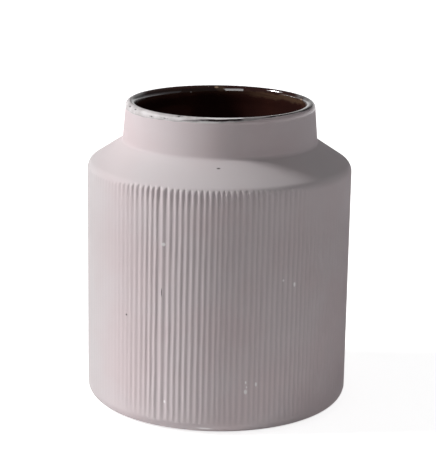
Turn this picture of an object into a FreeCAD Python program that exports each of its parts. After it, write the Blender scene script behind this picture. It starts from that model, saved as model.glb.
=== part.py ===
import FreeCAD, Part
import Sketcher
import os

# A cast stoneware utensil crock: a clay pot under a matt slip coat that is combed into upright flutes,
# with a dark gloss glaze inside, a pale glaze on the outer half of the lip and a thin one under the floor.
# Millimetres, +Z up, with the origin on the table under the middle of the pot.

doc = FreeCAD.newDocument("utensil_crock")

# Driving dimensions
SIZES = {
    # The finished outside
    "overall_height": 177.8,
    "body_diameter": 154.9,
    "neck_diameter": 114.0,
    "rim_diameter": 110.0,
    "neck_height": 22.7,
    "shoulder_slope": 33.3,
    "shoulder_round": 6.5,
    "neck_round": 2.8,
    "base_round": 6.9,
    # The layers of the wall
    "slip_thickness": 1.2,
    "clay_wall": 3.2,
    "liner_thickness": 0.5,
    "floor_thickness": 6.0,
    # The inside
    "inside_neck_round": 4.0,
    "inside_shoulder_round": 3.0,
    "inside_floor_round": 6.0,
    # The glaze on the lip
    "rim_glaze_thickness": 0.8,
    "rim_overlap_outside": 0.8,
    "lip_outer_round": 2.6,
    "lip_inner_round": 1.8,
    # The foot ring and the recess inside it
    "foot_reveal": 0.5,
    "foot_inset": 0.5,
    "foot_ring_width": 5.5,
    "foot_recess": 2.0,
    "foot_round": 0.4,
    "base_glaze_thickness": 0.5,
    # The flutes
    "flute_count": 148,
    "flute_width": 2.2,
    "flute_depth": 0.65,
}

sheet = doc.addObject("Spreadsheet::Sheet", "sizes")
for row, (name, size) in enumerate(SIZES.items(), start=1):
    sheet.set(f"A{row}", name)
    sheet.set(f"B{row}", str(size))
    sheet.setAlias(f"B{row}", name)
doc.recompute()

# Places on the pot, as expressions of the sheet's sizes
ON_AXIS = "0"
BODY_RADIUS = "(sizes.body_diameter / 2)"
NECK_RADIUS = "(sizes.neck_diameter / 2)"
RIM_RADIUS = "(sizes.rim_diameter / 2)"
NECK_FOOT = "(sizes.overall_height - sizes.neck_height)"
SLOPE = "(sizes.shoulder_slope * 1 deg)"
SHOULDER_EDGE = f"({NECK_FOOT} - ({BODY_RADIUS} - {NECK_RADIUS}) * tan({SLOPE}))"
FOOT_RADIUS = f"({BODY_RADIUS} - sizes.base_round - sizes.foot_inset)"
RECESS_RADIUS = f"({FOOT_RADIUS} - sizes.foot_ring_width)"
CLAY_BASE = "(sizes.foot_reveal + sizes.slip_thickness)"
CLAY_FLOOR = "(sizes.foot_recess + sizes.floor_thickness)"
LINER_FLOOR = f"({CLAY_FLOOR} + sizes.liner_thickness)"
CLAY_LIP = "(sizes.overall_height - sizes.rim_glaze_thickness)"

# Depths of the layers under the finished outside
SURFACE = "0"
CLAY_OUTSIDE = "sizes.slip_thickness"
CLAY_INSIDE = "(sizes.slip_thickness + sizes.clay_wall)"
POT_INSIDE = "(sizes.slip_thickness + sizes.clay_wall + sizes.liner_thickness)"

# How the neck widens downwards, and how far a layer's corners drop for each millimetre of its depth
NECK_FLARE = f"(({NECK_RADIUS} - {RIM_RADIUS}) / sizes.neck_height)"
NECK_LEAN = f"atan({NECK_FLARE})"
EDGE_DROP = f"((1 - sin({SLOPE})) / cos({SLOPE}))"
NECK_DROP = f"((1 - sin({SLOPE})) / (cos({SLOPE}) - {NECK_FLARE} * sin({SLOPE})))"

# The lip's two roundings share the flat that the leaning neck leaves on its top, glazed and under the glaze
OUTER_SHARE = 0.55
INNER_SHARE = 0.43
OUTER_REACH = f"((1 - sin({NECK_LEAN})) / cos({NECK_LEAN}))"
INNER_REACH = f"((1 + sin({NECK_LEAN})) / cos({NECK_LEAN}))"
SLIP_LOSS = f"(sizes.slip_thickness * abs(1 - {OUTER_REACH}))"
LINER_LOSS = f"(sizes.liner_thickness * abs(1 - {INNER_REACH}))"
LIP_WIDTH = f"({POT_INSIDE} - {SLIP_LOSS} - {LINER_LOSS})"
LIP_OUTER_ROUND = f"min(sizes.lip_outer_round; {OUTER_SHARE} * {LIP_WIDTH} / {OUTER_REACH})"
LIP_INNER_ROUND = f"min(sizes.lip_inner_round; {INNER_SHARE} * {LIP_WIDTH} / {INNER_REACH})"
CLAY_LIP_OUTER_ROUND = f"({LIP_OUTER_ROUND} - sizes.slip_thickness)"
CLAY_LIP_INNER_ROUND = f"({LIP_INNER_ROUND} - sizes.liner_thickness)"

# The pale glaze ends outside below the lip's rounding, and meets the dark one on the flat of the lip's top
LIP_SIDE = f"({LIP_OUTER_ROUND} * (1 - sin({NECK_LEAN})))"
RIM_FOOT = f"(sizes.overall_height - {LIP_SIDE} - sizes.rim_overlap_outside)"
FLAT_START = f"{LIP_OUTER_ROUND} * {OUTER_REACH}"
FLAT_END = f"{POT_INSIDE} - {LIP_INNER_ROUND} * {INNER_REACH}"
CLAY_FLAT_START = f"{CLAY_OUTSIDE} + {CLAY_LIP_OUTER_ROUND} * {OUTER_REACH}"
CLAY_FLAT_END = f"{CLAY_INSIDE} - {CLAY_LIP_INNER_ROUND} * {INNER_REACH}"
GLAZE_MEETING = f"(max({FLAT_START}; {CLAY_FLAT_START}) + min({FLAT_END}; {CLAY_FLAT_END})) / 2"
MEETING_RADIUS = f"({RIM_RADIUS} - {GLAZE_MEETING})"


def neck_at(depth, height, rounding=None):
    """Corner of a layer on the neck, at a height above the table."""
    return f"{RIM_RADIUS} - {depth} + {NECK_FLARE} * (sizes.overall_height - {height})", height, rounding


def neck_foot(depth, rounding):
    """Corner of a layer where the neck meets the shoulder."""
    radius = f"{NECK_RADIUS} - {depth} * (1 - {NECK_FLARE} * {NECK_DROP})"
    return radius, f"{NECK_FOOT} - {NECK_DROP} * {depth}", rounding


def shoulder_edge(depth, rounding):
    """Corner of a layer where the shoulder meets the wall."""
    return f"{BODY_RADIUS} - {depth}", f"{SHOULDER_EDGE} - {EDGE_DROP} * {depth}", rounding


def wall_foot(depth, height, rounding):
    """Corner of a layer where the wall meets the floor or the base."""
    return f"{BODY_RADIUS} - {depth}", height, rounding


def sharp(radius, height):
    """Corner that is left sharp."""
    return radius, height, None


def measure(expression):
    """Value of an expression at the sheet's present sizes."""
    return float(sheet.evalExpression(expression))


def new_body(label):
    body = doc.addObject("PartDesign::Body", label)
    body.Label = label
    body.Placement = FreeCAD.Placement()
    return body


def origin_feature(body, role):
    return next(feature for feature in body.Origin.OriginFeatures if feature.Role == role)


def new_sketch(body, name, plane):
    sketch = body.newObject("Sketcher::SketchObject", name)
    sketch.AttachmentSupport = (origin_feature(body, plane), [""])
    sketch.MapMode = "FlatFace"
    return sketch


def bind(sketch, constraint, name, expression):
    """Adds a sized constraint and ties it to the sheet."""
    sketch.renameConstraint(sketch.addConstraint(constraint), name)
    sketch.setExpression(f"Constraints.{name}", expression)


# The points of a line, arc or circle, in the order in which a sketch numbers them
POINTS = ("edge", "start", "end", "centre")
START, END, CENTRE = (POINTS.index(point) for point in ("start", "end", "centre"))


def pin(sketch, geometry, point, name, across, up):
    """Holds a point of the sketch: on an axis, or at a distance from the origin that the sheet gives."""
    origin, across_axis, upright_axis = -1, -1, -2
    places = (("DistanceX", upright_axis, "across", across), ("DistanceY", across_axis, "up", up))
    for direction, axis, word, expression in places:
        if expression == ON_AXIS:
            sketch.addConstraint(Sketcher.Constraint("PointOnObject", geometry, point, axis))
            continue
        size = measure(expression)
        distance = Sketcher.Constraint(direction, origin, START, geometry, point, size)
        bind(sketch, distance, f"{name}_{word}", expression)


def turn(body, corners):
    """Turns a half section about the pot's axis: corner name to its radius, height and rounding."""
    sketch = new_sketch(body, f"{body.Name}_section", "XZ_Plane")
    points = [FreeCAD.Vector(measure(radius), measure(height), 0) for radius, height, _ in corners.values()]
    for start, end in zip(points, points[1:] + points[:1]):
        sketch.addGeometry(Part.LineSegment(start, end))
    for side, (name, (radius, height, _)) in enumerate(corners.items()):
        side_before = (side - 1) % len(points)
        sketch.addConstraint(Sketcher.Constraint("Coincident", side_before, END, side, START))
        pin(sketch, side, START, name, radius, height)
    for side, (name, (_, _, rounding)) in enumerate(corners.items()):
        if rounding is None:
            continue
        arc = sketch.GeometryCount
        sketch.fillet(side, START, measure(rounding), True, True)
        bind(sketch, Sketcher.Constraint("Radius", arc, measure(rounding)), f"{name}_rounding", rounding)
    turned = body.newObject("PartDesign::Revolution", f"{body.Name}_turned")
    turned.Profile = sketch
    turned.ReferenceAxis = (sketch, ["V_Axis"])
    turned.Angle = 360
    doc.recompute()


# Roundings of the clay, each concentric with the finished surface that covers it
CLAY_NECK_ROUND = "sizes.neck_round + sizes.slip_thickness"
CLAY_SHOULDER_ROUND = "sizes.shoulder_round - sizes.slip_thickness"
CLAY_BASE_ROUND = "sizes.base_round - sizes.slip_thickness"
CLAY_INSIDE_NECK_ROUND = "sizes.inside_neck_round - sizes.liner_thickness"
CLAY_INSIDE_SHOULDER_ROUND = "sizes.inside_shoulder_round + sizes.liner_thickness"
CLAY_FLOOR_ROUND = "sizes.inside_floor_round + sizes.liner_thickness"


def make_stoneware_body():
    """The fired clay pot: floor, wall, shoulder, neck, lip and bare foot ring in one piece."""
    body = new_body("stoneware_body")
    turn(body, {
        "lip_outer": neck_at(CLAY_OUTSIDE, CLAY_LIP, CLAY_LIP_OUTER_ROUND),
        "neck": neck_foot(CLAY_OUTSIDE, CLAY_NECK_ROUND),
        "shoulder": shoulder_edge(CLAY_OUTSIDE, CLAY_SHOULDER_ROUND),
        "base": wall_foot(CLAY_OUTSIDE, CLAY_BASE, CLAY_BASE_ROUND),
        "foot_root": sharp(FOOT_RADIUS, CLAY_BASE),
        "foot_outer": (FOOT_RADIUS, ON_AXIS, "sizes.foot_round"),
        "foot_inner": (RECESS_RADIUS, ON_AXIS, "sizes.foot_round"),
        "recess_edge": sharp(RECESS_RADIUS, "sizes.foot_recess"),
        "recess_centre": sharp(ON_AXIS, "sizes.foot_recess"),
        "floor_centre": sharp(ON_AXIS, CLAY_FLOOR),
        "floor": wall_foot(CLAY_INSIDE, CLAY_FLOOR, CLAY_FLOOR_ROUND),
        "inside_shoulder": shoulder_edge(CLAY_INSIDE, CLAY_INSIDE_SHOULDER_ROUND),
        "inside_neck": neck_foot(CLAY_INSIDE, CLAY_INSIDE_NECK_ROUND),
        "lip_inner": neck_at(CLAY_INSIDE, CLAY_LIP, CLAY_LIP_INNER_ROUND),
    })
    return body


def make_fluted_slip():
    """The matt slip coat on the outside, from the lip's glaze down to the foot ring, combed into flutes."""
    body = new_body("fluted_slip")
    turn(body, {
        "top_outer": neck_at(SURFACE, RIM_FOOT),
        "neck": neck_foot(SURFACE, "sizes.neck_round"),
        "shoulder": shoulder_edge(SURFACE, "sizes.shoulder_round"),
        "base": wall_foot(SURFACE, "sizes.foot_reveal", "sizes.base_round"),
        "foot_edge": sharp(FOOT_RADIUS, "sizes.foot_reveal"),
        "foot_root": sharp(FOOT_RADIUS, CLAY_BASE),
        "clay_base": wall_foot(CLAY_OUTSIDE, CLAY_BASE, CLAY_BASE_ROUND),
        "clay_shoulder": shoulder_edge(CLAY_OUTSIDE, CLAY_SHOULDER_ROUND),
        "clay_neck": neck_foot(CLAY_OUTSIDE, CLAY_NECK_ROUND),
        "top_inner": neck_at(CLAY_OUTSIDE, RIM_FOOT),
    })
    comb_flutes(body)
    return body


# Two lengths closer than this are the same
SAME_SIZE = 1e-6


def comb_flutes(body):
    """Upright flutes all round the wall, each a straight round groove that runs out on its roundings."""
    smooth_volume = body.Tip.Shape.Volume
    tool_radius = "((sizes.flute_width ^ 2 / 4 + sizes.flute_depth ^ 2) / (2 * sizes.flute_depth))"
    tool_distance = f"({BODY_RADIUS} - sizes.flute_depth + {tool_radius})"
    half_pitch = "(180 deg / sizes.flute_count)"
    across = f"{tool_distance} * cos({half_pitch})"
    up = f"{tool_distance} * sin({half_pitch})"

    sketch = new_sketch(body, "flute_section", "XY_Plane")
    centre = FreeCAD.Vector(measure(across), measure(up), 0)
    circle = sketch.addGeometry(Part.Circle(centre, FreeCAD.Vector(0, 0, 1), measure(tool_radius)))
    pin(sketch, circle, CENTRE, "tool", across, up)
    bind(sketch, Sketcher.Constraint("Radius", circle, measure(tool_radius)), "tool_radius", tool_radius)

    flute = body.newObject("PartDesign::Pocket", "flute")
    flute.Profile = sketch
    flute.Type = "ThroughAll"
    flute.Reversed = True

    flutes = body.newObject("PartDesign::PolarPattern", "flutes")
    flutes.Originals = [flute]
    flutes.Axis = (origin_feature(body, "Z_Axis"), [""])
    flutes.Angle = 360
    flutes.setExpression("Occurrences", "sizes.flute_count")
    body.Tip = flutes
    doc.recompute()
    if flutes.Shape.Volume >= smooth_volume:
        raise RuntimeError("the flutes cut nothing")
    rounds = [face.Surface.Radius for face in flutes.Shape.Faces if isinstance(face.Surface, Part.Cylinder)]
    cut = sum(abs(radius - measure(tool_radius)) < SAME_SIZE for radius in rounds)
    if cut != flutes.Occurrences:
        raise RuntimeError(f"only {cut} of {flutes.Occurrences} flutes were cut")


def make_liner_glaze():
    """The dark gloss glaze inside: floor, wall, shoulder, neck and the inner half of the lip."""
    body = new_body("liner_glaze")
    turn(body, {
        "meeting_clay": sharp(MEETING_RADIUS, CLAY_LIP),
        "clay_lip_inner": neck_at(CLAY_INSIDE, CLAY_LIP, CLAY_LIP_INNER_ROUND),
        "clay_neck": neck_foot(CLAY_INSIDE, CLAY_INSIDE_NECK_ROUND),
        "clay_shoulder": shoulder_edge(CLAY_INSIDE, CLAY_INSIDE_SHOULDER_ROUND),
        "clay_floor": wall_foot(CLAY_INSIDE, CLAY_FLOOR, CLAY_FLOOR_ROUND),
        "clay_floor_centre": sharp(ON_AXIS, CLAY_FLOOR),
        "floor_centre": sharp(ON_AXIS, LINER_FLOOR),
        "floor": wall_foot(POT_INSIDE, LINER_FLOOR, "sizes.inside_floor_round"),
        "shoulder": shoulder_edge(POT_INSIDE, "sizes.inside_shoulder_round"),
        "neck": neck_foot(POT_INSIDE, "sizes.inside_neck_round"),
        "lip_inner": neck_at(POT_INSIDE, "sizes.overall_height", LIP_INNER_ROUND),
        "meeting": sharp(MEETING_RADIUS, "sizes.overall_height"),
    })
    return body


def make_rim_glaze():
    """The pale glaze on the lip's outer half, flush with the slip below it and the dark glaze beside it."""
    body = new_body("rim_glaze")
    turn(body, {
        "meeting": sharp(MEETING_RADIUS, "sizes.overall_height"),
        "lip_outer": neck_at(SURFACE, "sizes.overall_height", LIP_OUTER_ROUND),
        "outside_foot": neck_at(SURFACE, RIM_FOOT),
        "outside_clay_foot": neck_at(CLAY_OUTSIDE, RIM_FOOT),
        "clay_lip_outer": neck_at(CLAY_OUTSIDE, CLAY_LIP, CLAY_LIP_OUTER_ROUND),
        "meeting_clay": sharp(MEETING_RADIUS, CLAY_LIP),
    })
    return body


def make_base_glaze():
    """The thin glaze under the floor, inside the foot ring."""
    body = new_body("base_glaze")
    underside = "sizes.foot_recess - sizes.base_glaze_thickness"
    turn(body, {
        "top_centre": sharp(ON_AXIS, "sizes.foot_recess"),
        "bottom_centre": sharp(ON_AXIS, underside),
        "bottom_edge": sharp(RECESS_RADIUS, underside),
        "top_edge": sharp(RECESS_RADIUS, "sizes.foot_recess"),
    })
    return body


sub_parts = [
    make_stoneware_body(),
    make_fluted_slip(),
    make_liner_glaze(),
    make_rim_glaze(),
    make_base_glaze(),
]

doc.recompute()
for item in doc.Objects:
    if "Invalid" in item.State or "Error" in item.State:
        raise RuntimeError(f"{item.Label} failed: {item.State}")
for sub_part in sub_parts:
    if sub_part.Shape.isNull() or not sub_part.Shape.isValid():
        raise RuntimeError(f"{sub_part.Label} has no valid shape")

os.makedirs("parts", exist_ok=True)
for sub_part in sub_parts:
    sub_part.Shape.exportStep(f"parts/{sub_part.Label}.step")
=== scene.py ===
import math

import bpy
import numpy as np
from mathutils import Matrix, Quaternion, Vector


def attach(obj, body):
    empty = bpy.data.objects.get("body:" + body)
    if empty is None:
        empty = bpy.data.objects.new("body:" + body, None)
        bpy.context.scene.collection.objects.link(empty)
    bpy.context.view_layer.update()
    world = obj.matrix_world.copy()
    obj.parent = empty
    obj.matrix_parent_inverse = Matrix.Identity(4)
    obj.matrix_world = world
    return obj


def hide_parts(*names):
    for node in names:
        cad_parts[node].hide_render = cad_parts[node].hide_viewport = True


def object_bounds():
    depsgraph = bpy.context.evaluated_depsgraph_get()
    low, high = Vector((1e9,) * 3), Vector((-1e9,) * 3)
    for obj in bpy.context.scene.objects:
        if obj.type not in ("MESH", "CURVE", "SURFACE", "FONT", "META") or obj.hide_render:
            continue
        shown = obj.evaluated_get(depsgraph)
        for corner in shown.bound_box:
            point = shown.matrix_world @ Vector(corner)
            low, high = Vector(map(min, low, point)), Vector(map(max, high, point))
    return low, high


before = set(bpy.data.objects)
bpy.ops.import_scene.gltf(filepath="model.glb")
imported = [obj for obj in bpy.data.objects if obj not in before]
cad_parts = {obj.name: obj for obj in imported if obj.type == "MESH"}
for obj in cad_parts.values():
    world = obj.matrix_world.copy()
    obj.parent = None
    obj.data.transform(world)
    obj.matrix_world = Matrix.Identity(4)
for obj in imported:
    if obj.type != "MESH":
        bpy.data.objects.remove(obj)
cad_low, cad_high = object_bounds()


# Clay pot
# The pot is cast in one piece of buff stoneware, from the lip down to the foot ring, and fired.
# Slip and glaze cover it, so only the wiped ring that it stands on is bare clay.

clay_buff = (0.50, 0.39, 0.29, 1)
clay_toasted = (0.40, 0.29, 0.20, 1)
clay_iron_speck = (0.10, 0.06, 0.04, 1)


def new_finish(name, roughness, specular):
    """A material with one plain shader, ready for its colour and grain."""
    finish = bpy.data.materials.new(name)
    finish.use_nodes = True
    shader = finish.node_tree.nodes["Principled BSDF"]
    shader.inputs["Roughness"].default_value = roughness
    shader.inputs["Specular IOR Level"].default_value = specular
    return finish, finish.node_tree, shader


def put(tree, kind, inputs, **settings):
    """Adds a node and fills its inputs with numbers, colours or the outputs of other nodes."""
    made = tree.nodes.new(kind)
    for setting, value in settings.items():
        setattr(made, setting, value)
    for socket, value in inputs.items():
        if isinstance(value, bpy.types.NodeSocket):
            tree.links.new(value, made.inputs[socket])
        else:
            made.inputs[socket].default_value = value
    return made


def noise(tree, scale, detail, stretch=(1, 1, 1)):
    """Cloudy grain in the piece's own space, from 0 to 1."""
    place = put(tree, "ShaderNodeTexCoord", {}).outputs["Object"]
    stretched = put(tree, "ShaderNodeMapping", {"Vector": place, "Scale": stretch}).outputs["Vector"]
    inputs = {"Vector": stretched, "Scale": scale, "Detail": detail}
    return put(tree, "ShaderNodeTexNoise", inputs).outputs["Fac"]


def between(tree, value, low, high):
    """A mask that rises from 0 to 1 while a value goes from low to high."""
    inputs = {"Value": value, "From Min": low, "From Max": high}
    return put(tree, "ShaderNodeMapRange", inputs, interpolation_type="SMOOTHSTEP").outputs["Result"]


def mix(tree, mask, first, second):
    """One colour laid over another through a mask."""
    mixer = put(tree, "ShaderNodeMix", {"Factor": mask}, data_type="RGBA")
    for socket, colour in ((mixer.inputs[6], first), (mixer.inputs[7], second)):
        if isinstance(colour, bpy.types.NodeSocket):
            tree.links.new(colour, socket)
        else:
            socket.default_value = colour
    return mixer.outputs[2]


def grain(tree, shader, value, depth):
    """Fine relief on a surface, as deep as given in metres."""
    bump = put(tree, "ShaderNodeBump", {"Height": value, "Strength": 1, "Distance": depth})
    tree.links.new(bump.outputs["Normal"], shader.inputs["Normal"])


def clay_finish():
    finish, tree, shader = new_finish("bare_stoneware", roughness=0.9, specular=0.2)
    cloud = between(tree, noise(tree, scale=60, detail=4), 0.35, 0.7)
    speck = between(tree, noise(tree, scale=1600, detail=1), 0.68, 0.72)
    body = mix(tree, cloud, clay_buff, clay_toasted)
    tree.links.new(mix(tree, speck, body, clay_iron_speck), shader.inputs["Base Color"])
    grain(tree, shader, noise(tree, scale=2500, detail=3), depth=0.0001)
    return finish


clay_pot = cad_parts["stoneware_body"]
clay_pot.data.materials.clear()
clay_pot.data.materials.append(clay_finish())


# Base glaze
# A thin satin glaze is brushed in the shallow recess under the floor, inside the bare foot ring.
# It is the glaze of the lip, thinner, so that the clay warms it.

base_glaze_tone = (0.42, 0.38, 0.35, 1)
base_glaze_thin = (0.36, 0.29, 0.23, 1)


def base_glaze_finish():
    finish, tree, shader = new_finish("thin_base_glaze", roughness=0.35, specular=0.5)
    thin = between(tree, noise(tree, scale=90, detail=5), 0.45, 0.75)
    tree.links.new(mix(tree, thin, base_glaze_tone, base_glaze_thin), shader.inputs["Base Color"])
    grain(tree, shader, noise(tree, scale=400, detail=2), depth=0.00005)
    return finish


base_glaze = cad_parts["base_glaze"]
base_glaze.data.materials.clear()
base_glaze.data.materials.append(base_glaze_finish())


# Slip coat
# The outside is a thick coat of matt warm-grey slip from the glaze on the lip down to the foot ring.
# A comb drawn down the wall by hand left upright flutes in it, which crowd or spread in places and fade out
# where the comb was pressed lightly: at the far left, and at the top on the right.
# Painted light and shade are in its colour too: darker grooves and lighter ridges, a lighter low wall and
# shoulder,
# and a darker, greyer far left side.

height = cad_high.z
body_radius = cad_high.x
rim_radius = 0.0550
neck_radius = 0.0570
neck_height = 0.0227
shoulder_slope = math.radians(33.3)
shoulder_round = 0.0065
neck_round = 0.0028
base_round = 0.0069
slip_thickness = 0.0012
foot_reveal = 0.0005
foot_inset = 0.0005
foot_radius = body_radius - base_round - foot_inset
slip_top = 0.1755
crease = math.radians(50)

neck_foot_height = height - neck_height
neck_flare = (neck_radius - rim_radius) / neck_height
shoulder_edge_height = neck_foot_height - (body_radius - neck_radius) * math.tan(shoulder_slope)
slope_rise = math.sin(shoulder_slope)
slope_run = math.cos(shoulder_slope)
edge_drop = (1 - slope_rise) / slope_run
neck_drop = (1 - slope_rise) / (slope_run - neck_flare * slope_rise)


def on_neck(depth, level, rounding=0):
    """Corner on the neck at a level, as deep under the finished outside as given."""
    return rim_radius - depth + neck_flare * (height - level), level, rounding


def at_neck_foot(depth, rounding):
    """Corner where the neck meets the shoulder."""
    radius = neck_radius - depth * (1 - neck_flare * neck_drop)
    return radius, neck_foot_height - neck_drop * depth, rounding


def at_shoulder_edge(depth, rounding):
    """Corner where the shoulder meets the wall."""
    return body_radius - depth, shoulder_edge_height - edge_drop * depth, rounding


def section_line(corners, longest_step, arc_steps):
    """Points along a row of corners, with arcs at the rounded ones and long stretches divided."""
    line = []
    for index, (radius, level, rounding) in enumerate(corners):
        corner = Vector((radius, level))
        if not rounding:
            line.append(corner)
            continue
        to_last = (Vector(corners[index - 1][:2]) - corner).normalized()
        to_next = (Vector(corners[index + 1][:2]) - corner).normalized()
        half_angle = to_last.angle(to_next) / 2
        reach = rounding / math.tan(half_angle)
        centre = corner + (to_last + to_next).normalized() * rounding / math.sin(half_angle)
        start = corner + to_last * reach - centre
        end = corner + to_next * reach - centre
        swing = start.angle(end)
        for step in range(arc_steps + 1):
            turned = swing * step / arc_steps
            arc = start * math.sin(swing - turned) + end * math.sin(turned)
            line.append(centre + arc / math.sin(swing))
    divided = line[:1]
    for start, end in zip(line, line[1:]):
        steps = math.ceil((end - start).length / longest_step)
        divided += [start.lerp(end, step / steps) for step in range(1, steps + 1)]
    return divided


def turn_on_wheel(name, section, columns):
    """Draws a half section point by point and turns it about the pot's axis."""
    bpy.ops.object.select_all(action="DESELECT")
    bpy.ops.mesh.primitive_plane_add(size=0.001, location=(section[0].x, 0, section[0].y))
    bpy.ops.object.transform_apply(location=True)
    piece = bpy.context.object
    piece.name = name
    piece.data.name = name
    bpy.ops.object.mode_set(mode="EDIT")
    bpy.ops.mesh.merge(type="CENTER")
    for start, end in zip(section, section[1:]):
        step = (end.x - start.x, 0, end.y - start.y)
        bpy.ops.mesh.extrude_region_move(TRANSFORM_OT_translate={"value": step})
    bpy.ops.mesh.select_all(action="SELECT")
    bpy.ops.mesh.remove_doubles(threshold=1e-6)
    bpy.ops.object.mode_set(mode="OBJECT")
    wheel = piece.modifiers.new("wheel", "SCREW")
    wheel.steps = columns
    wheel.render_steps = columns
    bpy.ops.object.modifier_apply(modifier=wheel.name)
    bpy.ops.object.mode_set(mode="EDIT")
    bpy.ops.mesh.select_all(action="SELECT")
    bpy.ops.mesh.remove_doubles(threshold=1e-6)
    bpy.ops.mesh.normals_make_consistent(inside=False)
    bpy.ops.object.mode_set(mode="OBJECT")
    return piece


def polar(piece):
    """Angle, radius and level of every point of a turned piece."""
    places = np.empty(len(piece.data.vertices) * 3)
    piece.data.vertices.foreach_get("co", places)
    x, y, z = places.reshape(-1, 3).T
    return np.arctan2(y, x), np.hypot(x, y), z


def set_polar(piece, angle, radius, level):
    places = np.stack([radius * np.cos(angle), radius * np.sin(angle), level], axis=1)
    piece.data.vertices.foreach_set("co", places.ravel())
    piece.data.update()


def soft_waves(rng, angle, level, count, around, along):
    """Slow random waves over a turned surface, about -1 to 1, that join up all the way round."""
    total = np.zeros_like(angle)
    for _ in range(count):
        turns = rng.integers(1, around + 1)
        rise = rng.uniform(-1, 1) * math.tau / along
        total += np.sin(turns * angle + rise * level + rng.uniform(0, math.tau))
    return total / math.sqrt(count)


comb_seed = 11
flute_count = 148
flute_pitch = math.tau / flute_count
columns_per_flute = 8
flute_depth = 0.00042
deepest_flute = 0.00064
depth_shares = (0.8, 1.12)
depth_swell = 0.12
swell_length = 0.06
flute_bite = 0.00101
bite_start = 0.1300
fade_start = 0.0128
fade_end = 0.0045
top_reach = (0.108, 0.128)

# Sideways shifts of the flutes, counted in flutes
edge_wander = 0.03
wiggle_sizes = (0.01, 0.04)
wiggle_lengths = (0.030, 0.075)
lean_per_metre = 1.3
upright_level = 0.05
lean_wander = 0.05

# Stations round the wall, in degrees from the +X side: where the flutes crowd or spread, counted in flutes,
# and how hard the comb was pressed there, down the wall and at the top of it
flute_drift = [
    (-180, 0), (-135, -0.35), (-128, -0.3), (-123, -0.1), (-115.5, -0.1), (-113, 0.3), (-111, 0.45),
    (-98, 0.65), (-93, 0.6), (-86.5, 0.1), (-82, 0.15), (-77, 0.25), (-72, 0.1), (-60, 0.1), (-47, -0.2),
    (0, 0), (180, 0),
]
comb_press = [
    (-180, 0.8), (-165, 0.2), (-150, 0.1), (-140, 0.12), (-130, 0.48), (-120, 1), (-115.5, 1.2), (-113, 1.6),
    (-110.5, 1.05), (-96, 0.72), (-83, 1.25), (-60, 1.15), (-40, 1), (165, 1), (180, 0.8),
]
top_press = [
    (-180, 1), (-83, 1), (-70, 0.85), (-60, 0.6), (-47, 0), (-20, 0), (0, 1), (180, 1),
]
full_bite_press = 0.7

slip_outside = section_line(
    [
        on_neck(0, slip_top),
        at_neck_foot(0, neck_round),
        at_shoulder_edge(0, shoulder_round),
        (body_radius, foot_reveal, base_round),
        (foot_radius, foot_reveal, 0),
    ],
    longest_step=0.0044,
    arc_steps=10,
)
slip_inside = section_line(
    [
        (foot_radius, foot_reveal + slip_thickness, 0),
        (body_radius - slip_thickness, foot_reveal + slip_thickness, base_round - slip_thickness),
        at_shoulder_edge(slip_thickness, shoulder_round - slip_thickness),
        at_neck_foot(slip_thickness, neck_round + slip_thickness),
        on_neck(slip_thickness, slip_top),
        on_neck(0, slip_top),
    ],
    longest_step=0.15,
    arc_steps=2,
)
slip_coat = turn_on_wheel("slip_coat", slip_outside + slip_inside, flute_count * columns_per_flute)


def note(piece, name, values):
    """Keeps a number for every point of a piece, for its finish to read."""
    kept = piece.data.attributes.new(name, "FLOAT", "POINT")
    kept.data.foreach_set("value", values)


def comb_flutes(piece):
    """Presses the flutes into the turned coat, one after another all the way round."""
    rng = np.random.default_rng(comb_seed)
    angle, radius, level = polar(piece)
    along = angle / flute_pitch % flute_count
    flute = np.floor(along).astype(int) % flute_count
    across = along - flute
    next_flute = (flute + 1) % flute_count

    edge_shift = rng.normal(0, edge_wander, flute_count)
    wiggle_size = rng.uniform(*wiggle_sizes, flute_count)
    wiggle_length = rng.uniform(*wiggle_lengths, flute_count)
    wiggle_start = rng.uniform(0, math.tau, flute_count)
    depth = flute_depth * rng.uniform(*depth_shares, flute_count)
    depth_start = rng.uniform(0, math.tau, flute_count)

    def edge(number):
        wiggle = np.sin(level * math.tau / wiggle_length[number] + wiggle_start[number])
        return edge_shift[number] + wiggle_size[number] * wiggle

    def round_the_wall(stations):
        return np.interp(np.degrees(angle), *np.array(stations).T)

    shift = edge(flute) * (1 - across) + edge(next_flute) * across
    drift = round_the_wall(flute_drift)
    lean = lean_per_metre * (level - upright_level)
    lean += lean_wander * soft_waves(rng, angle, level, count=7, around=9, along=0.2)

    hand = round_the_wall(comb_press)
    top_hand = round_the_wall(top_press)
    near_top = np.interp(level, top_reach, (0, 1))
    press = depth[flute] * (1 + depth_swell * np.sin(level * math.tau / swell_length + depth_start[flute]))
    press = np.minimum(press * hand, deepest_flute) * (1 - near_top + near_top * top_hand)
    bite = np.clip((level - bite_start) / (shoulder_edge_height - bite_start), 0, 1)
    press += flute_bite * bite ** 2 * top_hand * np.minimum(hand / full_bite_press, 1)
    press *= np.clip((level - fade_end) / (fade_start - fade_end), 0, 1)

    groove = np.cos(across * math.tau)
    combed = (radius > body_radius - press) & (level < shoulder_edge_height)
    # Keeps how far each point lies down a groove, for the painted shade in the grooves and painted light on
    # the ridges.
    note(piece, "painted_groove_shade", np.where(combed, -np.minimum(press / flute_depth, 1) * groove, 0))
    radius = np.minimum(radius, body_radius - press * (0.5 - 0.5 * groove))
    set_polar(piece, angle + (shift + drift + lean) * flute_pitch, radius, level)


comb_flutes(slip_coat)
bpy.ops.object.shade_smooth_by_angle(angle=crease)

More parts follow.
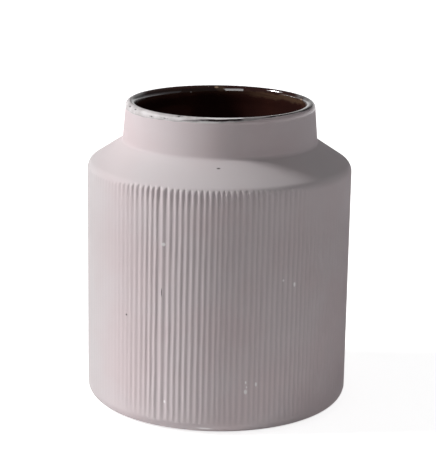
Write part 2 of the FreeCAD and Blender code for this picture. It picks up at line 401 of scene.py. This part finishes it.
slip_grey = (0.605, 0.535, 0.548, 1)
slip_warm = (0.600, 0.512, 0.524, 1)
slip_fleck = (0.93, 0.90, 0.90, 1)
slip_pit = (0.12, 0.10, 0.10, 1)
# Painted shade in the grooves and painted light on the ridges, fading out towards the right:
groove_shade_fade_right = (0.060, 0.040)
painted_groove_shade_tones = (1.085, 0.915)
# Painted light: the slip is drawn lighter low on the wall, as if lit from the floor, and a shade lighter
# near the wall's top:
low_wall_painted_light = (0.030, 0.105)
low_wall_painted_light_tones = (1.06, 0.93)
high_wall_painted_light = (0.112, 0.146)
high_wall_painted_light_tones = (1, 1.04)
# Painted light on the shoulder, which is drawn lighter and greyer:
painted_shoulder_light_rise = (0.137, 0.145)
painted_shoulder_light_fall = (0.157, 0.153)
painted_shoulder_light_tone = 1.05
painted_shoulder_light_tint = 0.72
# Painted shade along the far left side, darker and greyer, and darker again lower on the left:
painted_left_shade_side = (-0.054, -0.078)
painted_left_shade_tone = 0.88
painted_left_shade_tint = 0.55
painted_low_left_shade_side = (0.120, 0.030)
painted_low_left_shade_tone = 0.93
mark_edge = (1.6, 0.6)
flecks = [
    ((-0.0303, -0.0713, 0.1099), (0.0009, 0.0009, 0.0009)),
    ((0.0430, -0.0644, 0.0861), (0.0005, 0.0007, 0.0012)),
    ((0.0367, -0.0682, 0.0893), (0.0005, 0.0006, 0.0008)),
    ((0.0166, -0.0757, 0.0259), (0.0008, 0.0010, 0.0012)),
    ((0.0166, -0.0757, 0.0315), (0.0004, 0.0010, 0.0008)),
    ((0.0171, -0.0757, 0.0287), (0.0003, 0.0010, 0.0006)),
    ((0.0224, -0.0741, 0.0300), (0.0005, 0.0008, 0.0011)),
    ((-0.0292, -0.0717, 0.0178), (0.0005, 0.0008, 0.0009)),
    ((-0.0060, -0.0757, 0.0040), (0.0042, 0.0012, 0.0005)),
]
pits = [
    ((-0.0006, -0.0625, 0.1514), (0.0009, 0.0011, 0.0003)),
    ((-0.0514, -0.0579, 0.0648), (0.0005, 0.0005, 0.0005)),
    ((-0.0312, -0.0709, 0.0821), (0.0002, 0.0010, 0.0021)),
]


def noted(tree, name):
    """The number that a piece keeps for each of its points."""
    return put(tree, "ShaderNodeAttribute", {}, attribute_name=name).outputs["Fac"]


def scaled(tree, value, low, high, first, last):
    """A value that goes from low to high, turned into one that goes from first to last."""
    inputs = {"Value": value, "From Min": low, "From Max": high, "To Min": first, "To Max": last}
    return put(tree, "ShaderNodeMapRange", inputs).outputs["Result"]


def reckon(tree, sign, first, second):
    """Two numbers added, multiplied and so on."""
    return put(tree, "ShaderNodeMath", {0: first, 1: second}, operation=sign).outputs[0]


def window(tree, value, rise, fall):
    """A mask that rises from 0 to 1 over one stretch of a value and falls back over another."""
    return reckon(tree, "MULTIPLY", between(tree, value, *rise), between(tree, value, *fall))


def toned(tree, tone, mask, share):
    """A number brought to a share of itself where a mask is 1."""
    return reckon(tree, "MULTIPLY", tone, scaled(tree, mask, 0, 1, 1, share))


def place_on(tree):
    """The X, Y and Z of a point in the piece's own space."""
    place = put(tree, "ShaderNodeTexCoord", {}).outputs["Object"]
    return put(tree, "ShaderNodeSeparateXYZ", {"Vector": place}).outputs


def marks(tree, spots):
    """A mask of small marks, each with its middle and its reach along the three axes."""
    place = put(tree, "ShaderNodeTexCoord", {}).outputs["Object"]
    mask = 0
    for middle, reach in spots:
        away = put(tree, "ShaderNodeVectorMath", {0: place, 1: middle}, operation="SUBTRACT").outputs[0]
        away = put(tree, "ShaderNodeVectorMath", {0: away, 1: reach}, operation="DIVIDE").outputs[0]
        away = put(tree, "ShaderNodeVectorMath", {0: away}, operation="LENGTH").outputs["Value"]
        mask = reckon(tree, "MAXIMUM", between(tree, away, *mark_edge), mask)
    return mask


def slip_finish():
    finish, tree, shader = new_finish("matt_grey_slip", roughness=0.72, specular=0.3)
    place = place_on(tree)
    cloud = between(tree, noise(tree, scale=26, detail=4), 0.38, 0.66)
    coat = mix(tree, cloud, slip_grey, slip_warm)
    # Painted light: the shoulder is drawn lighter and greyer.
    shoulder = window(tree, place["Z"], painted_shoulder_light_rise, painted_shoulder_light_fall)
    # Painted shade: darker and greyer along the far left side, darker again lower on the left.
    painted_left_shade = between(tree, place["X"], *painted_left_shade_side)
    painted_low_left_shade = reckon(tree, "MULTIPLY", painted_left_shade, between(tree, place["Z"], *painted_low_left_shade_side))

    # Painted shade darkens the grooves and painted light lightens the ridges, fading out towards the right.
    painted_groove_shade = reckon(tree, "MULTIPLY", noted(tree, "painted_groove_shade"), between(tree, place["X"], *groove_shade_fade_right))
    tone = scaled(tree, painted_groove_shade, -1, 1, *painted_groove_shade_tones)
    # Painted light: lighter low on the wall and again near its top, darker between.
    tone = reckon(tree, "MULTIPLY", tone, scaled(tree, place["Z"], *low_wall_painted_light, *low_wall_painted_light_tones))
    tone = reckon(tree, "MULTIPLY", tone, scaled(tree, place["Z"], *high_wall_painted_light, *high_wall_painted_light_tones))
    # Painted light on the shoulder, painted shade on the far left and lower left, in tone and tint:
    tone = toned(tree, tone, shoulder, painted_shoulder_light_tone)
    tone = toned(tree, tone, painted_left_shade, painted_left_shade_tone)
    tone = toned(tree, tone, painted_low_left_shade, painted_low_left_shade_tone)
    tint = toned(tree, 1, shoulder, painted_shoulder_light_tint)
    tint = reckon(tree, "MINIMUM", tint, toned(tree, 1, painted_left_shade, painted_left_shade_tint))

    coat = {"Color": coat, "Saturation": tint, "Value": tone}
    coat = put(tree, "ShaderNodeHueSaturation", coat).outputs["Color"]
    coat = mix(tree, marks(tree, flecks), coat, slip_fleck)
    coat = mix(tree, marks(tree, pits), coat, slip_pit)
    tree.links.new(coat, shader.inputs["Base Color"])
    grain(tree, shader, noise(tree, scale=1500, detail=2), depth=0.00003)
    return finish


slip_coat.data.materials.append(slip_finish())
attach(slip_coat, "root")
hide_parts("fluted_slip")


# Liner glaze
# The inside is poured full of a dark brown gloss glaze and emptied again, over the inner half of the lip.
# It runs thin and brown under the lip, where it hangs in a soft roll, and gathers nearly black below.

clay_inside = 0.0044
pot_inside = 0.0049
clay_floor = 0.0080
liner_floor = 0.0085
floor_round = 0.0060
liner_shoulder_round = 0.0030
liner_neck_round = 0.0040
clay_lip = height - 0.0008
clay_lip_round = 0.0013
lip_meeting = 0.0027
roll_depth = 0.0059
roll_drop = 0.0050
roll_end = 0.0125
roll_square = 0.8
roll_swell = 0.0010
roll_points = 15
hang_points = 8
liner_columns = 296
on_axis = 0

lip_roll = []
for turned in np.linspace(0, math.pi / 2, roll_points):
    depth = lip_meeting + (roll_depth - lip_meeting) * math.sin(turned) ** roll_square
    lip_roll.append(on_neck(depth, height - roll_drop * (1 - math.cos(turned) ** roll_square)))
for share in np.linspace(0, 1, hang_points)[1:]:
    depth = pot_inside + (roll_depth - pot_inside) * (0.5 + 0.5 * math.cos(share * math.pi))
    lip_roll.append(on_neck(depth, height - roll_drop - (roll_end - roll_drop) * share))

liner_section = section_line(
    [
        (on_axis, clay_floor, 0),
        (body_radius - clay_inside, clay_floor, floor_round + pot_inside - clay_inside),
        at_shoulder_edge(clay_inside, liner_shoulder_round + pot_inside - clay_inside),
        at_neck_foot(clay_inside, liner_neck_round - pot_inside + clay_inside),
        on_neck(clay_inside, clay_lip, clay_lip_round),
        on_neck(lip_meeting, clay_lip),
    ],
    longest_step=0.15,
    arc_steps=3,
) + section_line(
    lip_roll
    + [
        at_neck_foot(pot_inside, liner_neck_round),
        at_shoulder_edge(pot_inside, liner_shoulder_round),
        (body_radius - pot_inside, liner_floor, floor_round),
        (on_axis, liner_floor, 0),
    ],
    longest_step=0.003,
    arc_steps=8,
)
liner_coat = turn_on_wheel("liner_coat", liner_section, liner_columns)


def swell_roll(piece):
    """Makes the roll under the lip uneven: fuller at the front right and back left, leaner between."""
    angle, radius, level = polar(piece)
    hang = rim_radius + neck_flare * (height - level) - radius - lip_meeting
    share = np.clip(hang / (roll_depth - lip_meeting), 0, 1) * (level > height - roll_end)
    fade = np.clip((level - height + roll_end) / (roll_end - roll_drop), 0, 1)
    set_polar(piece, angle, radius + roll_swell * np.sin(2 * angle) * share * fade, level)


swell_roll(liner_coat)
bpy.ops.object.shade_smooth_by_angle(angle=crease)

liner_black = (0.028, 0.010, 0.0085, 1)
liner_red = (0.048, 0.016, 0.011, 1)
liner_brown = (0.085, 0.048, 0.030, 1)
liner_pale = (0.26, 0.25, 0.25, 1)
liner_chip = (0.40, 0.27, 0.18, 1)
brown_rise = (0.1718, 0.1738)
brown_fall = (0.1766, 0.1752)
brown_right = (0.012, 0.028)
brown_at_left = 0.25
brown_between_streaks = 0.35
run_reach = 0.003
lip_ends = (0.0435, 0.0485)
pale_span = 0.04
pale_at_left = (0.1735, 0.1765)
pale_at_right = (0.1756, 0.1782)
thin_spots = [
    ((0.0000, 0.0498, 0.1760), (0.0026, 0.0018, 0.0014)),
]
chips = [
    ((-0.0027, 0.0502, 0.1769), (0.0010, 0.0010, 0.0005)),
    ((0.0474, 0.0163, 0.1763), (0.0005, 0.0007, 0.0004)),
    ((0.0470, 0.0157, 0.1743), (0.0004, 0.0006, 0.0004)),
]


def liner_finish():
    finish, tree, shader = new_finish("dark_liner_glaze", roughness=0.05, specular=0.5)
    shader.inputs["IOR"].default_value = 1.7
    place = place_on(tree)
    runs = noise(tree, scale=90, detail=3, stretch=(1, 1, 0.35))
    level = reckon(tree, "ADD", place["Z"], scaled(tree, runs, 0, 1, -run_reach, run_reach))
    red = between(tree, noise(tree, scale=30, detail=3, stretch=(1, 1, 0.4)), 0.4, 0.75)
    deep = mix(tree, red, liner_black, liner_red)

    streaks = between(tree, noise(tree, scale=70, detail=3, stretch=(1, 1, 7)), 0.30, 0.60)
    to_right = between(tree, place["X"], *brown_right)
    thin = window(tree, level, brown_rise, brown_fall)
    thin = reckon(tree, "MULTIPLY", thin, scaled(tree, streaks, 0, 1, brown_between_streaks, 1))
    thin = reckon(tree, "MULTIPLY", thin, scaled(tree, to_right, 0, 1, brown_at_left, 1))
    thin = reckon(tree, "MAXIMUM", thin, marks(tree, thin_spots))

    at_ends = between(tree, reckon(tree, "ABSOLUTE", place["X"], 0), *lip_ends)
    pale_from = scaled(tree, place["X"], -pale_span, pale_span, pale_at_left[0], pale_at_right[0])
    pale_full = scaled(tree, place["X"], -pale_span, pale_span, pale_at_left[1], pale_at_right[1])
    pale = reckon(tree, "MULTIPLY", at_ends, between(tree, level, pale_from, pale_full))
    coat = mix(tree, pale, mix(tree, thin, deep, liner_brown), liner_pale)
    coat = mix(tree, marks(tree, chips), coat, liner_chip)
    tree.links.new(coat, shader.inputs["Base Color"])
    grain(tree, shader, noise(tree, scale=120, detail=1), depth=0.0001)
    return finish


liner_coat.data.materials.append(liner_finish())
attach(liner_coat, "root")
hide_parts("liner_glaze")


# Rim glaze
# The outer half of the lip is brushed with a pale grey gloss glaze, which ends on the neck in an uneven
# roll. It is thick and pale on the left. Towards the right it thins out, so that the liner glaze breaks
# through it in a ragged dark band and the slip shows below that.
# A white line along the apex of the lip at the front is a painted highlight.

rim_foot = 0.1748
rim_roll = 0.00007
roll_height = 0.0003
lip_outer_round = 0.0026
clay_lip_outer_round = 0.0014
skin = 0.00002
rim_columns = 592
run_seed = 5
ripple_size = 0.00012
least_run = 0.0001
left_run = 0.0012

rim_section = section_line(
    [
        on_neck(lip_meeting, clay_lip),
        on_neck(lip_meeting, height),
        on_neck(0, height, lip_outer_round),
        on_neck(-rim_roll, rim_foot + roll_height),
        on_neck(skin, rim_foot),
        on_neck(skin, slip_top),
        on_neck(slip_thickness, slip_top),
        on_neck(slip_thickness, clay_lip, clay_lip_outer_round),
        on_neck(lip_meeting, clay_lip),
    ],
    longest_step=0.0004,
    arc_steps=12,
)
rim_coat = turn_on_wheel("rim_coat", rim_section, rim_columns)


def run_glaze(piece):
    """Lets the lower edge of the glaze run down unevenly, most on the left."""
    rng = np.random.default_rng(run_seed)
    angle, radius, level = polar(piece)
    note(piece, "over_lip", rim_radius + neck_flare * (height - level) - radius)
    to_left = 0.5 - 0.5 * np.cos(angle)
    ripple = ripple_size * soft_waves(rng, angle, level, count=9, around=40, along=1)
    run = np.minimum(ripple - left_run * to_left ** 2 - least_run, 0)
    share = np.clip((slip_top - level) / (slip_top - rim_foot), 0, 1)
    moved = run * share
    set_polar(piece, angle, radius - neck_flare * moved, level + moved)


run_glaze(rim_coat)
bpy.ops.object.shade_smooth_by_angle(angle=crease)

# The first colour is a painted highlight, a white line along the lip's apex at the front.
painted_glint_white = (0.92, 0.90, 0.90, 1)
rim_pale = (0.62, 0.585, 0.59, 1)
rim_shade = (0.47, 0.44, 0.44, 1)
rim_thin = (0.33, 0.31, 0.31, 1)
rim_break = (0.020, 0.015, 0.015, 1)
pale_ends = (-0.030, -0.004)
rim_roughness = (0.55, 0.15)
thin_from = (0.002, 0.014)
thinning_stretch = (0, 0.034)
edge_at_left = 0.0066
edge_at_front = 0.0052
edge_thinning = 0.0031
edge_ragged = (-0.0009, 0.0007)
slip_shows = (0, -0.0003)
band_at_left = 0.0005
band_at_right = 0.0031
band_thinning = 0.0010
band_softness = (0.5, 0.15)
band_top = (1.0, 0.8)
band_streaks = (0.7, 1)
band_share_at_left = 0.3
front_half = (0, -0.02)
front_rise = (-0.010, -0.006)
front_fall = (0.014, 0.011)
gap_rise = (0.011, 0.014)
gap_fall = (0.028, 0.022)
gap_share = 0.4
# Painted highlight along the apex at the front, fading down the outer rounding:
painted_glint_fall = (0.0020, 0.0014)
lip_dark_from = (0.0024, 0.0030)
lip_dark_ragged = (0, 0.001)
lip_dark_share = 0.75
back_and_sides = (-0.030, -0.005)
scratch_shares = (0.15, 0.9)
rim_scratches = [
    ((-0.0518, -0.0173, 0.1768), (0.0013, 0.0014, 0.0004)),
    ((-0.0483, -0.0259, 0.1767), (0.0010, 0.0012, 0.0003)),
    ((-0.0386, -0.0395, 0.1755), (0.0016, 0.0014, 0.0003)),
    ((-0.0311, -0.0455, 0.1758), (0.0026, 0.0016, 0.0002)),
    ((-0.0228, -0.0487, 0.1775), (0.0022, 0.0010, 0.0004)),
]


def glaze_edge(tree, place, thinning):
    """How far over the lip and down the neck the pale glaze goes, with a ragged edge."""
    edge = scaled(tree, place["X"], -rim_radius, 0, edge_at_left, edge_at_front)
    edge = reckon(tree, "SUBTRACT", edge, scaled(tree, thinning, 0, 1, 0, edge_thinning))
    return reckon(tree, "ADD", edge, scaled(tree, noise(tree, scale=170, detail=3), 0, 1, *edge_ragged))


def dark_band(tree, place, above, to_right, thinning, front):
    """The dark band just above the glaze's edge, where the liner glaze breaks through."""
    band = scaled(tree, to_right, 0, 1, band_at_left, band_at_right)
    band = reckon(tree, "SUBTRACT", band, scaled(tree, thinning, 0, 1, 0, band_thinning))
    share = reckon(tree, "DIVIDE", above, band)
    softness = scaled(tree, thinning, 0, 1, *band_softness)
    dark = window(tree, share, (0, softness), band_top)
    streaks = between(tree, noise(tree, scale=130, detail=3), 0.36, 0.6)
    streaks = reckon(tree, "MAXIMUM", scaled(tree, streaks, 0, 1, *band_streaks), front)
    dark = reckon(tree, "MULTIPLY", dark, streaks)
    dark = reckon(tree, "MULTIPLY", dark, scaled(tree, to_right, 0, 1, band_share_at_left, 1))
    return toned(tree, dark, window(tree, place["X"], gap_rise, gap_fall), gap_share)


def dark_on_lip(tree, place, over_lip):
    """The ragged dark patches on top of the lip, at the back and the sides."""
    ragged = scaled(tree, noise(tree, scale=160, detail=3), 0, 1, *lip_dark_ragged)
    over = between(tree, reckon(tree, "ADD", over_lip, ragged), *lip_dark_from)
    over = reckon(tree, "MULTIPLY", over, between(tree, place["Y"], *back_and_sides))
    return scaled(tree, over, 0, 1, 0, lip_dark_share)


def dark_scratches(tree):
    """The scratches on the front left of the lip, broken up by the glaze."""
    broken = between(tree, noise(tree, scale=900, detail=2), 0.40, 0.60)
    broken = scaled(tree, broken, 0, 1, *scratch_shares)
    return reckon(tree, "MULTIPLY", marks(tree, rim_scratches), broken)


def rim_finish():
    finish, tree, shader = new_finish("pale_rim_glaze", roughness=0.3, specular=0.5)
    place = place_on(tree)
    to_right = between(tree, place["X"], *pale_ends)
    tree.links.new(scaled(tree, to_right, 0, 1, *rim_roughness), shader.inputs["Roughness"])
    cloud = between(tree, noise(tree, scale=140, detail=4), 0.4, 0.7)
    thick = mix(tree, cloud, rim_pale, rim_shade)
    pale = mix(tree, between(tree, place["X"], *thin_from), thick, rim_thin)

    over_lip = noted(tree, "over_lip")
    drop = reckon(tree, "SUBTRACT", height, place["Z"])
    along = reckon(tree, "ADD", drop, scaled(tree, over_lip, 0, lip_outer_round, lip_outer_round, 0))
    thinning = scaled(tree, place["X"], *thinning_stretch, 0, 1)
    above = reckon(tree, "SUBTRACT", glaze_edge(tree, place, thinning), along)
    front = window(tree, place["X"], front_rise, front_fall)
    front = reckon(tree, "MULTIPLY", front, between(tree, place["Y"], *front_half))

    dark = dark_band(tree, place, above, to_right, thinning, front)
    dark = reckon(tree, "MAXIMUM", dark, dark_on_lip(tree, place, over_lip))
    dark = reckon(tree, "MAXIMUM", dark, dark_scratches(tree))
    # Painted highlight: a white line on the apex of the lip at the front.
    painted_glint = reckon(tree, "MULTIPLY", front, between(tree, along, *painted_glint_fall))
    shown = mix(tree, painted_glint, pale, painted_glint_white)
    shown = mix(tree, between(tree, above, *slip_shows), shown, slip_warm)
    tree.links.new(mix(tree, dark, shown, rim_break), shader.inputs["Base Color"])
    grain(tree, shader, noise(tree, scale=600, detail=2), depth=0.00004)
    return finish


rim_coat.data.materials.append(rim_finish())
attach(rim_coat, "root")
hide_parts("rim_glaze")


# Floor and surroundings
# The pot stands on a plain white floor before a white backdrop. To the camera both are white, and the floor
# keeps the pot's own soft shadow. In the glazes the backdrop shows white behind the pot under a dim ceiling.

floor_size = 12.0
floor_white = (0.85, 0.85, 0.85, 1)
floor_glow = 0.80
room_white = (1, 1, 1, 1)
room_fill = 0.197
room_dim = 0.06
backdrop_gloss = 0.8
backdrop_side = (-0.25, 0.25)
backdrop_top = (0.25, 0.13)


def seen_directly(tree):
    """1 for what the camera sees, also in a gloss or through glass, and 0 for light on the pot."""
    ray = put(tree, "ShaderNodeLightPath", {}).outputs
    gloss = put(tree, "ShaderNodeMath", {0: ray["Is Camera Ray"], 1: ray["Is Glossy Ray"]}, use_clamp=True)
    glass = put(tree, "ShaderNodeMath", {0: gloss.outputs[0], 1: ray["Is Transmission Ray"]}, use_clamp=True)
    return glass.outputs[0]


bpy.ops.object.select_all(action="DESELECT")
bpy.ops.mesh.primitive_plane_add(size=floor_size)
floor = bpy.context.object
floor.name = "floor"

floor_finish, floor_tree, floor_shader = new_finish("white_floor", roughness=0.9, specular=0.1)
floor_shader.inputs["Base Color"].default_value = floor_white
glow = reckon(floor_tree, "MULTIPLY", seen_directly(floor_tree), floor_glow)
glow = put(floor_tree, "ShaderNodeEmission", {"Color": room_white, "Strength": glow})
both = put(floor_tree, "ShaderNodeAddShader", {0: floor_shader.outputs[0], 1: glow.outputs[0]})
floor_tree.links.new(both.outputs[0], floor_tree.nodes["Material Output"].inputs["Surface"])
floor.data.materials.append(floor_finish)


def light_the_room():
    room = bpy.data.worlds.new("white_room")
    room.use_nodes = True
    bpy.context.scene.world = room
    tree = room.node_tree
    way = put(tree, "ShaderNodeTexCoord", {}).outputs["Generated"]
    way = put(tree, "ShaderNodeSeparateXYZ", {"Vector": way}).outputs
    behind = between(tree, way["Y"], *backdrop_side)
    low = between(tree, way["Z"], *backdrop_top)
    backdrop = reckon(tree, "MULTIPLY", reckon(tree, "MULTIPLY", behind, low), backdrop_gloss)
    backdrop = reckon(tree, "MAXIMUM", backdrop, room_dim)
    camera_ray = put(tree, "ShaderNodeLightPath", {}).outputs["Is Camera Ray"]
    backdrop = reckon(tree, "MAXIMUM", backdrop, camera_ray)
    seen = put(tree, "ShaderNodeBackground", {"Color": room_white, "Strength": backdrop})
    fill = put(tree, "ShaderNodeBackground", {"Color": room_white, "Strength": room_fill})
    pick = {0: seen_directly(tree), 1: fill.outputs[0], 2: seen.outputs[0]}
    both_rooms = put(tree, "ShaderNodeMixShader", pick)
    tree.links.new(both_rooms.outputs[0], tree.nodes["World Output"].inputs["Surface"])


light_the_room()


# Lamps
# The key is a soft box high on the left, and a wide bluish reflector on the right lifts the shadow side.
# The cloth round the key and a bright card in front light nothing and only show in the glazes.

pot_middle = Vector((0, 0, height / 2))
reflector_blue = (0.92, 0.91, 1.0)


def soft_box(name, turn, rise, distance, width, tall, power):
    """A lamp aimed at the pot, turned to the left of the front by degrees and raised by others."""
    turn = math.radians(turn)
    rise = math.radians(rise)
    away = Vector((-math.sin(turn) * math.cos(rise), -math.cos(turn) * math.cos(rise), math.sin(rise)))
    bpy.ops.object.light_add(type="AREA", location=pot_middle + away * distance)
    lamp = bpy.context.object
    lamp.name = name
    lamp.rotation_euler = away.to_track_quat("Z", "Y").to_euler()
    lamp.data.shape = "RECTANGLE"
    lamp.data.size = width
    lamp.data.size_y = tall
    lamp.data.energy = power
    return lamp


soft_box("key", turn=87.5, rise=36, distance=2.2, width=0.42, tall=0.26, power=46.5)
key_cloth = soft_box("key_cloth", turn=87.5, rise=36, distance=2.25, width=1.05, tall=0.34, power=12)
key_cloth.visible_diffuse = False
reflector = soft_box("reflector", turn=-98, rise=8, distance=1.6, width=2.3, tall=1.2, power=2.65)
reflector.data.color = reflector_blue
front_card = soft_box("front_card", turn=15.2, rise=20, distance=2.0, width=0.95, tall=1.05, power=12.5)
front_card.visible_diffuse = False


# Camera
# It looks down at the pot from the front through a long lens, at the photograph's angle.
# It is rolled by about a degree, as the pot stands in the picture.

camera_place = Vector((-0.0003, -0.9750, 0.3567))
camera_aim = Vector((-0.0003, 0, 0.0987))
camera_lens = 131.66
camera_sensor = 36
camera_roll = 0.0165

bpy.ops.object.camera_add(location=camera_place)
camera = bpy.context.object
level_turn = (camera_aim - camera_place).to_track_quat("-Z", "Y")
camera.rotation_euler = (level_turn @ Quaternion((0, 0, 1), camera_roll)).to_euler()
camera.data.sensor_width = camera_sensor
camera.data.lens = camera_lens
camera.data.clip_start = 0.05
camera.data.clip_end = 50
bpy.context.scene.camera = camera
bpy.context.scene.view_settings.view_transform = "Standard"
